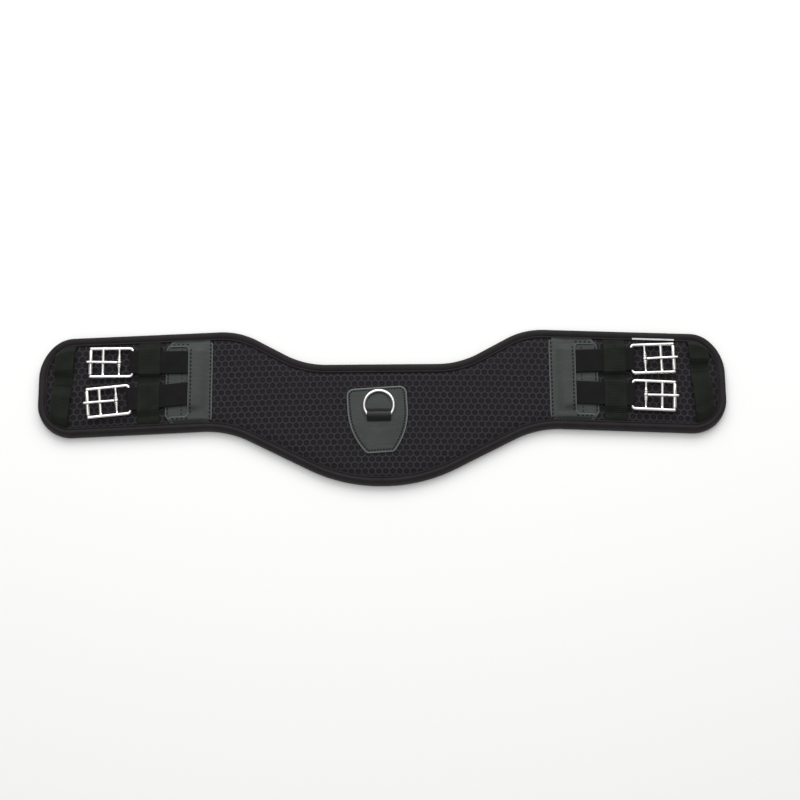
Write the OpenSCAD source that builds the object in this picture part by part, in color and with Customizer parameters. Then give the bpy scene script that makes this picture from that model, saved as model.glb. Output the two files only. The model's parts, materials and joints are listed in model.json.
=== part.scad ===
// Shaped saddle girth: padded body, two elastic buckle straps at each end, centre D-ring.
// Millimetres. +X runs along the girth to its right end, +Y to its straight front edge,
// +Z away from the horse. The origin is on the resting surface, under the middle.

/* [Girth body] */
// Length over the binding, end to end
girth_length = 744.6; // [735:0.2:780]
// Half length of the straight front edge at the waist
waist_half = 84; // [78:1:90]
// Front edge at the waist, from the X axis
waist_y = 48; // [45:0.5:50]
// Front edge at the shoulders, from the X axis
shoulder_y = 86.3; // [84:0.1:88]
// Rear edge at the ends, behind the X axis
end_drop = 32; // [30:0.5:34]
// Rear edge at the belly, behind the X axis
belly_drop = 85.45; // [80:0.05:92]
// Thickness of the lining next to the horse
lining_thick = 2.5; // [2.2:0.1:4]
// Thickness of the foam core
foam_thick = 6; // [4:0.5:10]
// Thickness of the embossed outer cover with its backing
cover_thick = 2.5; // [2:0.1:4]
// Width of the binding seen from above
binding_width = 7.6; // [6:0.1:9]
// Thickness of the binding material
binding_thick = 0.8; // [0.6:0.1:1]

/* [Leather] */
// Thickness of the leather pieces
leather_thick = 1.3; // [1.1:0.1:1.6]
// Width of the band over the strap roots
band_width = 28; // [26:0.5:30]
// How far the patch under the straps shows past the band
patch_show = 24.5; // [20:0.5:26]
// Width of the centre patch
shield_width = 65; // [60:1:70]
// Length of the centre patch
shield_length = 72; // [68:1:76]
// Turn of the centre patch as it was sewn on
shield_turn = 3.5; // [0:0.5:5]

/* [Elastic straps and keepers] */
// Width of the buckle straps
strap_width = 25; // [22:0.5:25]
// Thickness of one ply of strap elastic
ply_thick = 1.4; // [1.2:0.1:1.5]
// Thickness of the ribbed keeper elastic
keeper_thick = 1.3; // [1:0.1:1.6]
// Width of the keeper over the straps
inner_keeper_width = 24; // [20:1:25]
// Width of the keeper beyond the buckles
outer_keeper_width = 20.5; // [18:0.5:22]
// Clear height inside the loops of the outer keeper
keeper_rise = 6.4; // [5.5:0.1:9]

/* [Buckles] */
// Diameter of the buckle frame bars
frame_bar = 3.6; // [3.2:0.1:3.8]
// Width over the side bars
frame_width = 34.6; // [34.4:0.1:36]
// Distance from the strap bar to the roller
roller_reach = 45.2; // [44:0.2:47]
// Outside diameter of the roller
roller_d = 4.4; // [4:0.1:4.8]
// Diameter of the tongue
tongue_d = 2.9; // [2.4:0.1:3]

/* [D-ring] */
// Width over the ring
ring_width = 35; // [33:0.5:38]
// Diameter of the ring wire
ring_wire = 3.1; // [2.6:0.1:3.4]

/* [Hidden] */

$fn = 96;
arc_step = 5;        // degrees between the points of a rounded outline
half_len = girth_length / 2;
far = 200;           // longer than any cut has to reach
slack = 0.3;         // gap kept between soft pieces that do not touch
bore_gap = 0.05;     // radial clearance of a turning pin

// Heights of the layers
belly_z = lining_thick;
foam_z = belly_z + foam_thick;
face_z = foam_z + cover_thick;
patch_z = face_z + leather_thick;
flange_z = 0.5;      // underside of the binding, clear of the resting surface
wall_gap = 0.2;      // binding to the layers it wraps

// Outline corners of the right half [x, y, fillet radius], front edge first, clockwise
shoulder_x = waist_half + 71;
end_corner = [half_len - 23.9, shoulder_y - 7.3, 33];
flank = [167.5, -end_drop + 8.6, 104];
half_corners = [
  [waist_half, waist_y, 95],
  [shoulder_x, shoulder_y, 80],
  end_corner,
  [half_len, end_corner[1] - 24, 49],
  [half_len, -end_drop, 36.5],
  flank,
  [42.6, -belly_drop, 175]];

// Straps: left front, left rear, right front, right rear
sides = [1, 1, 0, 0];                 // 1 mirrors the strap to the left end
root_ys = [50.5, 14.6, 48.8, 13.3];   // strap centre line where it leaves the band
yaws = [0, -5.6, 1.3, -3.0];          // degrees toward the front edge
stretches = [0, 2, 0.6, 0];           // how far each strap hangs out of line
root_x = half_len - 150.3;
bar_z = face_z + 3.6;
function bar_x(i) = half_len - 102 + stretches[i];
function bar_y(i) = root_ys[i] + (bar_x(i) - root_x) * tan(yaws[i]);

band_x = half_len - 190.8;            // inner edge of the band
band_end = band_x + band_width;
pocket_x = band_x + 18.5;             // the strap roots start here
patch_end = band_end + patch_show;
strap_bottom = patch_z;
strap_top = strap_bottom + 2 * ply_thick;
loop_back = -15.3;                    // folded strap end, measured from the strap bar

inner_keeper_x = half_len - 132.3;
outer_keeper_x = half_len - 27;       // middle of the outer keeper
outer_lean = 4;
tacks = [29, 39];                     // where each outer keeper is sewn down: left, right

bar_r = frame_bar / 2;
side_y = frame_width / 2 - bar_r;
bend = 3;                             // centre line radius of the rear corners
tongue_bar_x = 14.2;
tongue_bar_r = 1.38;
middle_x = 31.9;
middle_r = 1.9;
middle_drop = 0.9;
eye_r = 3.1;
eye_width = 3.2;
tongue_start_z = 1.2;                 // tongue centre line over the tongue bar
tongue_end_z = roller_d / 2 + tongue_d / 2 + 0.12;
tongue_tip = 3.5;                     // full thickness past the roller axis
tip_length = 1.2;
pin_r = 1.3;
roller_half = side_y - bar_r - 0.35;

shield_at = [-4, -14.6];
ring_turn_y = 1.5;                    // centre of the ring's round part
ring_bar_y = -9;
ring_bend = 6;                        // centre line radius of the ring's two corners
ring_at_x = -3.4;
wire_r = ring_wire / 2;
ring_z = patch_z + wire_r + 0.15;
ring_r = ring_width / 2 - wire_r;
tab_width = 24.7;

// Outline helpers: clockwise corner lists [x, y, r] turned into rounded outlines
function flat(p) = [p[0], p[1]];
function unit(v) = v / norm(v);
function right_of(u) = [u[1], -u[0]];
function turn_of(u, v) = atan2(u[0] * v[1] - u[1] * v[0], u * v);
function prev(c, i) = flat(c[(i + len(c) - 1) % len(c)]);
function next(c, i) = flat(c[(i + 1) % len(c)]);
function mirrored(c) = concat(c, [for (i = [len(c) - 1:-1:0]) [-c[i][0], c[i][1], c[i][2]]]);
function inset(c, d) = [for (i = [0:len(c) - 1])
  let (b = flat(c[i]), u = unit(b - prev(c, i)), v = unit(next(c, i) - b),
       n = right_of(u), m = right_of(v),
       p = b + d * (n + m) / (1 + n * m))
  [p[0], p[1], c[i][2] + (turn_of(u, v) < 0 ? -d : d)]];
function fillet(a, b, c, r) =
  let (u = unit(b - a), v = unit(c - b), turn = turn_of(u, v),
       start = b - u * r * tan(abs(turn) / 2),
       middle = start + right_of(u) * r * (turn < 0 ? 1 : -1),
       first = atan2(start[1] - middle[1], start[0] - middle[0]),
       n = ceil(abs(turn) / arc_step))
  [for (k = [0:n]) middle + r * [cos(first + turn * k / n), sin(first + turn * k / n)]];
function rounded(c) = [for (i = [0:len(c) - 1])
  each fillet(prev(c, i), flat(c[i]), next(c, i), c[i][2])];

body_corners = mirrored(half_corners);
body_wall = binding_thick + wall_gap;
function front_edge(x) = shoulder_y
  + (x - shoulder_x) * (end_corner[1] - shoulder_y) / (end_corner[0] - shoulder_x);
function rear_edge(x) = flank[1]
  - (x - flank[0]) * (end_drop + flank[1]) / (half_len - flank[0]);

// A slab of the body outline, drawn in by d, between two heights
module slab(d, z0, z1) {
  translate([0, 0, z0])
    linear_extrude(height = z1 - z0) polygon(rounded(inset(body_corners, d)));
}

// Puts a shape drawn for the right end on one of the two ends
module at_end(left) {
  mirror([left, 0, 0]) children();
}

// Local frame of strap i: origin on the strap bar, +X out along the strap
module at_bar(i) {
  mirror([sides[i], 0, 0])
    translate([bar_x(i), bar_y(i), bar_z]) rotate([0, 0, yaws[i]]) children();
}

// A bar along Y between two points of a strap frame
module cross_bar(x, z, r, length) {
  translate([x, 0, z]) rotate([90, 0, 0]) cylinder(h = length, r = r, center = true);
}

// Extrudes a profile drawn in X and Z over a width centred on Y
module across(width) {
  rotate([90, 0, 0]) linear_extrude(height = width, center = true) children();
}

// Extrudes a profile drawn in Y and Z along X
module along_x(x0, length) {
  translate([x0, 0, 0]) rotate([90, 0, 90]) linear_extrude(height = length) children();
}

// ---- girth body ----

module lining() color("#3a3638") {
  slab(binding_width + 1, 0, belly_z);
  slab(body_wall, flange_z + binding_thick, belly_z);
}

module webbing_shape(y) {
  translate([-pocket_x - 10, y - 12.5, foam_z - 1.5]) cube([2 * pocket_x + 20, 25, 1.5]);
}

module webbing_front() color("#8c877c") webbing_shape(22);

module webbing_rear() color("#8c877c") webbing_shape(-6);

module foam_core() color("#b9b4a8") difference() {
  slab(body_wall, belly_z, foam_z);
  webbing_shape(22);
  webbing_shape(-6);
}

module face_cover() color("#2b2830") {
  slab(binding_width + wall_gap, foam_z, face_z);
  slab(body_wall, foam_z, face_z - wall_gap);
}

module edge_binding() color("#1e191d") {
  difference() {
    slab(0, flange_z, face_z + binding_thick);
    slab(binding_thick, 0, face_z + 2 * binding_thick);
  }
  difference() {
    slab(0, face_z, face_z + binding_thick);
    slab(binding_width, 0, face_z + 2 * binding_thick);
  }
  difference() {
    slab(0, flange_z, flange_z + binding_thick);
    slab(binding_width, 0, foam_z);
  }
}

module seam_label() color("#b9bbbd") {
  label_x = half_len - 100;
  translate([label_x, front_edge(label_x) - binding_width - 3.2, face_z])
    rotate([0, 0, atan(front_edge(1) - front_edge(0))])
    cube([46, 2.6, 0.5]);
}

// ---- leather at the strap roots ----

module between_bindings() {
  intersection() {
    children();
    slab(binding_width + wall_gap, 0, far);
  }
}

module under_patch_shape() {
  cut = 7;
  rise = 9;
  front = front_edge(patch_end) - binding_width;
  rear = rear_edge(patch_end) + binding_width;
  between_bindings() translate([0, 0, face_z]) linear_extrude(height = leather_thick)
    polygon([[pocket_x, -far], [patch_end - cut, -far], [patch_end - cut, rear],
      [patch_end, rear + rise], [patch_end, front - rise], [patch_end - cut, front],
      [patch_end - cut, far], [pocket_x, far]]);
}

module under_patch_left() color("#353d3a") at_end(1) under_patch_shape();

module under_patch_right() color("#353d3a") at_end(0) under_patch_shape();

// Channel over the root of strap i: grow widens it and lifts its top
module root_channel(i, grow, x0, x1) {
  translate([x0, 0, strap_bottom])
    translate([0, root_ys[i] + ((x0 + x1) / 2 - root_x) * tan(yaws[i]), 0])
    translate([0, -strap_width / 2 - 0.8 - grow, 0])
    cube([x1 - x0, strap_width + 1.6 + 2 * grow, strap_top - strap_bottom + slack + grow]);
}

module strap_band_shape(first) {
  arm = 8.5;
  tip = patch_end - 3;
  slant = 6.5;
  front = front_edge(band_end) - binding_width;
  rear = rear_edge(band_end) + binding_width;
  difference() {
    union() {
      between_bindings() translate([band_x, -far / 2, face_z])
        cube([pocket_x - band_x, far, leather_thick]);
      between_bindings() translate([0, 0, patch_z]) linear_extrude(height = leather_thick)
        polygon([[pocket_x - 2, -far], [tip - slant, -far], [tip - slant, rear],
          [tip, rear + arm], [band_end + 4, rear + arm], [band_end, rear + arm + 4],
          [band_end, front - arm - 4], [band_end + 4, front - arm], [tip, front - arm],
          [tip - slant, front], [tip - slant, far], [pocket_x - 2, far]]);
      for (i = [first, first + 1])
        root_channel(i, leather_thick, pocket_x - 2, band_end);
    }
    for (i = [first, first + 1])
      root_channel(i, 0, pocket_x, band_end + 1);
  }
}

module strap_band_left() color("#3b4441") at_end(1) strap_band_shape(0);

module strap_band_right() color("#3b4441") at_end(0) strap_band_shape(2);

// ---- elastic straps and their folded ends ----

module strap_profile_z() {
  translate([0, 0, strap_bottom - bar_z]) children();
}

module elastic_strap_shape(i) {
  start = pocket_x + 1.5 - bar_x(i);
  at_bar(i) strap_profile_z() translate([start, -strap_width / 2, 0])
    cube([loop_back - slack - start, strap_width, 2 * ply_thick]);
}

module elastic_strap_left_front() color("#1e1f20") elastic_strap_shape(0);

module elastic_strap_left_rear() color("#1e1f20") elastic_strap_shape(1);

module elastic_strap_right_front() color("#1e1f20") elastic_strap_shape(2);

module elastic_strap_right_rear() color("#1e1f20") elastic_strap_shape(3);

module strap_loop_shape(i) {
  bore = bar_r + bore_gap;
  outer = bore + ply_thick;
  low = strap_bottom - bar_z;
  high = strap_top - bar_z;
  neck = -5.6;
  round_top = outer - 0.25;           // the plies run into the fold just under its top
  at_bar(i) difference() {
    union() {
      cross_bar(0, 0, outer, strap_width);
      across(strap_width) polygon([[loop_back, low], [loop_back, high], [neck, high],
        [-0.9, round_top], [-0.9, -round_top], [neck, low]]);
    }
    cross_bar(0, 0, bore, strap_width + 1);
    across(strap_width + 1) polygon([[neck + 1, (low + high) / 2], [-0.6, 1], [-0.6, -1]]);
  }
}

module strap_loop_left_front() color("#1e1f20") strap_loop_shape(0);

module strap_loop_left_rear() color("#1e1f20") strap_loop_shape(1);

module strap_loop_right_front() color("#1e1f20") strap_loop_shape(2);

module strap_loop_right_rear() color("#1e1f20") strap_loop_shape(3);

// ---- ribbed elastic keepers ----

// Profile of an elastic strip on the face that rises over two loops.
// Each loop is [y0, y1], where its inside meets the face.
function loop_under(l, clear, lean) =
  [[l[0], 0], [l[0] + lean, clear], [l[1] - lean, clear], [l[1], 0]];
function loop_over(l, clear, lean) = let (t = keeper_thick, c = 1.2)
  [[l[0] - t, t], [l[0] + lean - t, clear + t - c], [l[0] + lean - t + c, clear + t],
   [l[1] - lean + t - c, clear + t], [l[1] - lean + t, clear + t - c], [l[1] + t, t]];
function reversed(list) = [for (i = [len(list) - 1:-1:0]) list[i]];

module keeper_profile(rear, front, clear, lean) {
  polygon(concat([[-far, keeper_thick]], loop_over(rear, clear, lean),
    loop_over(front, clear, lean), [[far, keeper_thick], [far, 0]],
    reversed(loop_under(front, clear, lean)), reversed(loop_under(rear, clear, lean)),
    [[-far, 0]]));
}

module inner_keeper_shape() {
  spread = strap_width / 2 + 3.2;
  front_y = 49.5;
  rear_y = 11;
  between_bindings() translate([0, 0, face_z]) along_x(inner_keeper_x, inner_keeper_width)
    keeper_profile([rear_y - spread, rear_y + spread], [front_y - spread, front_y + spread],
      strap_top + slack - face_z, 1);
}

module inner_keeper_left() color("#22261f") at_end(1) inner_keeper_shape();

module inner_keeper_right() color("#22261f") at_end(0) inner_keeper_shape();

module outer_keeper_shape(tack) {
  sewn = 5;
  pivot = 25;
  between_bindings() translate([outer_keeper_x, pivot, face_z]) rotate([0, 0, outer_lean])
    along_x(-outer_keeper_width / 2, outer_keeper_width) translate([-pivot, 0])
    keeper_profile([-13.5, tack - sewn], [tack + sewn, 62], keeper_rise, 2.5);
}

module outer_keeper_left() color("#22261f") at_end(1) outer_keeper_shape(tacks[0]);

module outer_keeper_right() color("#22261f") at_end(0) outer_keeper_shape(tacks[1]);

// ---- roller buckles ----

module buckle_frame_shape() {
  straight = 2 * (side_y - bend);
  inside = 2 * (side_y - bar_r);
  flare = 2;
  cross_bar(0, 0, bar_r, straight);
  for (s = [-1, 1]) {
    translate([bend, s * (side_y - bend), 0]) rotate([0, 0, s > 0 ? 90 : 180])
      rotate_extrude(angle = 90) translate([bend, 0]) circle(r = bar_r);
    translate([bend, s * side_y, 0]) rotate([0, 90, 0]) cylinder(h = roller_reach - bend, r = bar_r);
    translate([roller_reach, s * side_y, 0]) sphere(r = bar_r);
    translate([middle_x, s * (side_y - bar_r + 0.4), -middle_drop]) rotate([s * 90, 0, 0])
      cylinder(h = flare, r1 = middle_r + 0.5, r2 = middle_r);
    for (y = [eye_width / 2 + 0.15, eye_width / 2 + 2.1])
      translate([tongue_bar_x, s > 0 ? y : -y - 1.1, 0]) rotate([-90, 0, 0])
        cylinder(h = 1.1, r = 2.4);
  }
  cross_bar(tongue_bar_x, 0, tongue_bar_r, inside + 1);
  cross_bar(middle_x, -middle_drop, middle_r, inside + 1);
  cross_bar(roller_reach, 0, pin_r, inside + 1);
}

module buckle_frame_left_front() color("#c8cacc") at_bar(0) buckle_frame_shape();

module buckle_frame_left_rear() color("#c8cacc") at_bar(1) buckle_frame_shape();

module buckle_frame_right_front() color("#c8cacc") at_bar(2) buckle_frame_shape();

module buckle_frame_right_rear() color("#c8cacc") at_bar(3) buckle_frame_shape();

module tongue_shape() {
  root = tongue_bar_x + 1.9;
  rise = (tongue_end_z - tongue_start_z) / (roller_reach - root);
  shank = (roller_reach + tongue_tip - root) / cos(atan(rise));
  difference() {
    cross_bar(tongue_bar_x, 0, eye_r, eye_width);
    cross_bar(tongue_bar_x, 0, tongue_bar_r + bore_gap, eye_width + 1);
  }
  translate([root, 0, tongue_start_z]) rotate([0, 90 - atan(rise), 0]) {
    cylinder(h = shank, r = tongue_d / 2);
    translate([0, 0, shank]) cylinder(h = tip_length, r1 = tongue_d / 2, r2 = tongue_d / 4);
  }
}

module tongue_left_front() color("#d2d4d6") at_bar(0) tongue_shape();

module tongue_left_rear() color("#d2d4d6") at_bar(1) tongue_shape();

module tongue_right_front() color("#d2d4d6") at_bar(2) tongue_shape();

module tongue_right_rear() color("#d2d4d6") at_bar(3) tongue_shape();

module roller_shape() {
  difference() {
    cross_bar(roller_reach, 0, roller_d / 2, 2 * roller_half);
    cross_bar(roller_reach, 0, pin_r + bore_gap, 2 * roller_half + 1);
  }
}

module roller_left_front() color("#dcdedf") at_bar(0) roller_shape();

module roller_left_rear() color("#dcdedf") at_bar(1) roller_shape();

module roller_right_front() color("#dcdedf") at_bar(2) roller_shape();

module roller_right_rear() color("#dcdedf") at_bar(3) roller_shape();

// ---- centre patch and D-ring ----

module centre_patch() color("#3b4441") {
  top = shield_length / 2;
  half = shield_width / 2;
  foot = 15.5;
  corners = [[half, top, 4], [half, 22 - top, 70], [foot, -top, 3]];
  translate([shield_at[0], shield_at[1], face_z]) rotate([0, 0, shield_turn])
    linear_extrude(height = leather_thick) polygon(rounded(mirrored(corners)));
}

// Leather tab over the ring's bar, sewn down in front of it and behind it
module dring_loop() color("#3b4441") {
  bore = wire_r + bore_gap;
  outer = 3.9;
  pocket_r = 2.7;                     // room for the ring's corners at the tab's ends
  pocket_at = 8.8;
  axis = ring_z - patch_z;
  foot = 8;
  translate([ring_at_x, ring_bar_y, patch_z]) difference() {
    union() {
      translate([0, 0, axis]) rotate([0, 90, 0]) cylinder(h = tab_width, r = outer, center = true);
      along_x(-tab_width / 2, tab_width)
        polygon([[-foot, 0], [-foot, leather_thick], [-3, axis + 2.2], [3, axis + 2.2],
          [foot, leather_thick], [foot, 0]]);
    }
    translate([0, 0, axis]) rotate([0, 90, 0]) cylinder(h = far, r = bore, center = true);
    for (s = [-1, 1])
      translate([s * (pocket_at + far / 2), 0, axis]) rotate([0, 90, 0])
        cylinder(h = far, r = pocket_r, center = true);
    translate([0, 0, -far / 2]) cube(far, center = true);
    translate([-far / 2, -bore, -1]) cube([far, 2 * bore, axis + 1]);
  }
}

module d_ring() color("#c8cacc") {
  side = ring_turn_y - ring_bar_y - ring_bend;
  translate([ring_at_x, ring_turn_y, ring_z]) {
    rotate_extrude(angle = 180) translate([ring_r, 0]) circle(r = wire_r);
    for (s = [-1, 1]) {
      translate([s * ring_r, 0, 0]) rotate([90, 0, 0]) cylinder(h = side, r = wire_r);
      translate([s * (ring_r - ring_bend), -side, 0]) rotate([0, 0, s > 0 ? 270 : 180])
        rotate_extrude(angle = 90) translate([ring_bend, 0]) circle(r = wire_r);
    }
    translate([0, -side - ring_bend, 0]) rotate([0, 90, 0])
      cylinder(h = 2 * (ring_r - ring_bend), r = wire_r, center = true);
  }
}

lining();
foam_core();
webbing_front();
webbing_rear();
face_cover();
edge_binding();
seam_label();
under_patch_left();
under_patch_right();
strap_band_left();
strap_band_right();
elastic_strap_left_front();
elastic_strap_left_rear();
elastic_strap_right_front();
elastic_strap_right_rear();
strap_loop_left_front();
strap_loop_left_rear();
strap_loop_right_front();
strap_loop_right_rear();
inner_keeper_left();
inner_keeper_right();
outer_keeper_left();
outer_keeper_right();
buckle_frame_left_front();
buckle_frame_left_rear();
buckle_frame_right_front();
buckle_frame_right_rear();
tongue_left_front();
tongue_left_rear();
tongue_right_front();
tongue_right_rear();
roller_left_front();
roller_left_rear();
roller_right_front();
roller_right_rear();
centre_patch();
dring_loop();
d_ring();
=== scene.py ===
"""Looks of the saddle girth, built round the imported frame."""

import json
import math
from collections import Counter

import bmesh
import bpy
import numpy as np
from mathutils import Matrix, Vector
from mathutils.geometry import delaunay_2d_cdt


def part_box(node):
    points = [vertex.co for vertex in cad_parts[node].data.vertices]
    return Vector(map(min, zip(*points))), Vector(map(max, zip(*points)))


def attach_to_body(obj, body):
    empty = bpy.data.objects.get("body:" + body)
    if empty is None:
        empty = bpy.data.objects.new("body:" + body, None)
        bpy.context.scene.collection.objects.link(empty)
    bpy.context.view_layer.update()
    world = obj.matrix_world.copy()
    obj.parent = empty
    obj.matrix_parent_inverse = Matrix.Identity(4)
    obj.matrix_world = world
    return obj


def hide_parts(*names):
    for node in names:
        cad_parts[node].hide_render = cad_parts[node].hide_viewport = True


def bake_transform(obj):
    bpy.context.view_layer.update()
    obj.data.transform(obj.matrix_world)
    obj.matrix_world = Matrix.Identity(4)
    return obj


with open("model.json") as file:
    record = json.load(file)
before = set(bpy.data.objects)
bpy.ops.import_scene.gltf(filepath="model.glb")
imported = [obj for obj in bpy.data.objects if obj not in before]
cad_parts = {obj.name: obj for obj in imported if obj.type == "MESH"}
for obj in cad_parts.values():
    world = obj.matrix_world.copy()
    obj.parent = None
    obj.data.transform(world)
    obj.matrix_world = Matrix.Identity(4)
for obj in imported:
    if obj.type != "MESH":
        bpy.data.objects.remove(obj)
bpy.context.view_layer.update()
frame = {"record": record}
RECORD = frame["record"]

MM = 0.001

# ---------------------------------------------------------------- sizes from the frame (mm)


def node_box(name):
    lo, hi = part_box(name)
    return np.array(lo) / MM, np.array(hi) / MM


BODY_LO, BODY_HI = node_box("edge_binding")
HALF = BODY_HI[0]
FACE_Z = node_box("face_cover")[1][2]
PATCH_Z = node_box("under_patch_right")[1][2]
LEATHER = PATCH_Z - FACE_Z
FLANGE_TOP = BODY_HI[2]
# the outline's driving sizes: the waist, the shoulder and how the end falls away from it
WAIST_Y = 48.0
SHOULDER_X, SHOULDER_Y = 155.0, 86.3
END_IN, END_FALL = 23.9, 7.3
END_DROP = 32.0
FLANK_X, FLANK_RISE = 167.5, 8.6
BINDING = 7.6           # the binding's sewn inner edge, in from the outline

# ---------------------------------------------------------------- outlines
# A corner list is clockwise [x, y, radius]; every corner gets the same number of points,
# so rings drawn in by different amounts match point for point.


def mirrored(corners):
    """The right half's corners, then the left half's."""
    return corners + [(-x, y, r) for x, y, r in reversed(corners)]


def unit(v):
    return v / np.linalg.norm(v)


def turn_between(u, v):
    return math.atan2(u[0] * v[1] - u[1] * v[0], float(u @ v))


def inset(corners, d, least=0.15):
    """The corners drawn in by d; each radius stays at least as large as given."""
    pts = [np.array(c[:2], float) for c in corners]
    out = []
    for i, b in enumerate(pts):
        u, v = unit(b - pts[i - 1]), unit(pts[(i + 1) % len(pts)] - b)
        n, m = np.array([u[1], -u[0]]), np.array([v[1], -v[0]])
        p = b + d * (n + m) / (1 + n @ m)
        r = corners[i][2] + (-d if turn_between(u, v) < 0 else d)
        out.append((p[0], p[1], max(r, least)))
    return out


def ring(corners, d=0.0, arc=8, spacing=3.0):
    """Points of the rounded outline drawn in by d. arc is the steps at each corner, or as a
    float their length; spacing is the length of a step along the straights."""
    base, moved = corners, inset(corners, d)
    pts = []
    count = len(corners)
    for i in range(count):
        a, b, c = (np.array(moved[j % count][:2]) for j in (i - 1, i, i + 1))
        a0, b0 = (np.array(base[j % count][:2]) for j in (i - 1, i))
        u, v = unit(b - a), unit(c - b)
        turn = turn_between(u, v)
        r = moved[i][2]
        start = b - u * r * math.tan(abs(turn) / 2)
        side = np.array([u[1], -u[0]]) * (1 if turn < 0 else -1)
        middle = start + side * r
        first = math.atan2(*(start - middle)[::-1])
        steps = arc if isinstance(arc, int) else max(2, int(abs(turn) * base[i][2] / arc))
        if pts:
            last = pts[-1]
            n = max(1, int(np.linalg.norm(b0 - a0) / spacing))
            pts += [last + (start - last) * k / n for k in range(1, n)]
        pts += [middle + r * np.array([math.cos(first + turn * k / steps),
                                       math.sin(first + turn * k / steps)])
                for k in range(steps + 1)]
    n = max(1, int(np.linalg.norm(np.array(base[0][:2]) - np.array(base[-1][:2])) / spacing))
    last, start = pts[-1], pts[0]
    pts += [last + (start - last) * k / n for k in range(1, n)]
    return np.array(pts)


body_corners = mirrored([
    (84.0, WAIST_Y, 95.0), (SHOULDER_X, SHOULDER_Y, 80.0),
    (HALF - END_IN, SHOULDER_Y - END_FALL, 33.0), (HALF, SHOULDER_Y - END_FALL - 24.0, 49.0),
    (HALF, -END_DROP, 36.5), (FLANK_X, -END_DROP + FLANK_RISE, 104.0),
    (42.6, BODY_LO[1], 175.0)])
BODY = dict(arc=2.0, spacing=2.2)
body_ring = ring(body_corners, 0.0, **BODY)


def edge_distance(p):
    """How far each point (n, 2) lies inside the body outline, negative outside."""
    p = np.atleast_2d(p)
    a, b = body_ring, np.roll(body_ring, -1, 0)
    ab = b - a
    length2 = (ab ** 2).sum(1)
    best = np.full(len(p), 1e9)
    sign = np.ones(len(p))
    for k in range(0, len(p), 4000):
        q = p[k:k + 4000, None, :] - a[None]
        t = np.clip((q * ab[None]).sum(2) / length2, 0, 1)
        r = q - t[:, :, None] * ab[None]
        d = np.sqrt((r ** 2).sum(2))
        j = d.argmin(1)
        best[k:k + 4000] = d[np.arange(len(j)), j]
        cross = ab[j, 0] * q[np.arange(len(j)), j, 1] - ab[j, 1] * q[np.arange(len(j)), j, 0]
        sign[k:k + 4000] = np.where(cross < 0, 1, -1)
    return best * sign


def push_in(p, least):
    """Moves the points that lie nearer the outline than least, or outside it, to that depth."""
    p = p.copy()
    for _ in range(4):
        d = edge_distance(p)
        far = d < least - 0.01
        if not far.any():
            break
        e = 0.05
        q = p[far]
        gx = (edge_distance(q + [e, 0]) - edge_distance(q - [e, 0])) / (2 * e)
        gy = (edge_distance(q + [0, e]) - edge_distance(q - [0, e])) / (2 * e)
        g = np.stack([gx, gy], 1)
        g /= np.maximum(np.linalg.norm(g, axis=1, keepdims=True), 0.3)
        p[far] = q + g * (least - d[far])[:, None]
    return p


def smooth(t):
    """Eases from 0 to 1."""
    t = np.clip(t, 0, 1)
    return t * t * (3 - 2 * t)


def wobble(x, y, scale, seed):
    """Smooth pseudo-random height, about -1 to 1."""
    r = np.random.default_rng(seed)
    total = np.zeros(np.broadcast(x, y).shape)
    for _ in range(6):
        ang, ph = r.uniform(0, 2 * math.pi), r.uniform(0, 2 * math.pi)
        k = 2 * math.pi / (scale * r.uniform(0.7, 1.6))
        total = total + np.sin(k * (x * math.cos(ang) + y * math.sin(ang)) + ph)
    return total / 3.5


# ---------------------------------------------------------------- meshes


def make(name, verts, faces, material, masks=None, wound=False):
    """A mesh object from points in mm. masks is {attribute name: value per point}.
    wound says that the faces already turn outwards, so their directions are left alone."""
    mesh = bpy.data.meshes.new(name)
    mesh.from_pydata([tuple(v) for v in np.asarray(verts, float) * MM], [], faces)
    for key, values in (masks or {}).items():
        mesh.attributes.new(key, "FLOAT", "POINT").data.foreach_set(
            "value", np.asarray(values, np.float32))
    mesh.validate()
    bm = bmesh.new()
    bm.from_mesh(mesh)
    bmesh.ops.dissolve_degenerate(bm, dist=1e-6, edges=bm.edges)
    if not wound:
        bmesh.ops.recalc_face_normals(bm, faces=bm.faces)
    bm.to_mesh(mesh)
    bm.free()
    mesh.polygons.foreach_set("use_smooth", [True] * len(mesh.polygons))
    mesh.materials.append(material)
    o = bpy.data.objects.new(name, mesh)
    bpy.context.collection.objects.link(o)
    return o


def attach(piece, body, node):
    """Puts a visible piece on its body, in place of its CAD node."""
    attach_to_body(piece, body)
    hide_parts(node)


def weave_grid(rows, cols, close_rows=False, close_cols=False, caps=False):
    """Quads over rows of points; caps closes the first and last row."""
    r = np.arange(rows if close_rows else rows - 1)
    c = np.arange(cols if close_cols else cols - 1)
    i, j = np.meshgrid(r, c, indexing="ij")
    i2, j2 = (i + 1) % rows, (j + 1) % cols
    faces = np.stack([i * cols + j, i2 * cols + j, i2 * cols + j2, i * cols + j2], -1)
    faces = faces.reshape(-1, 4).tolist()
    if caps:
        faces += [list(range(cols))[::-1], list(range((rows - 1) * cols, rows * cols))]
    return faces


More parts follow.
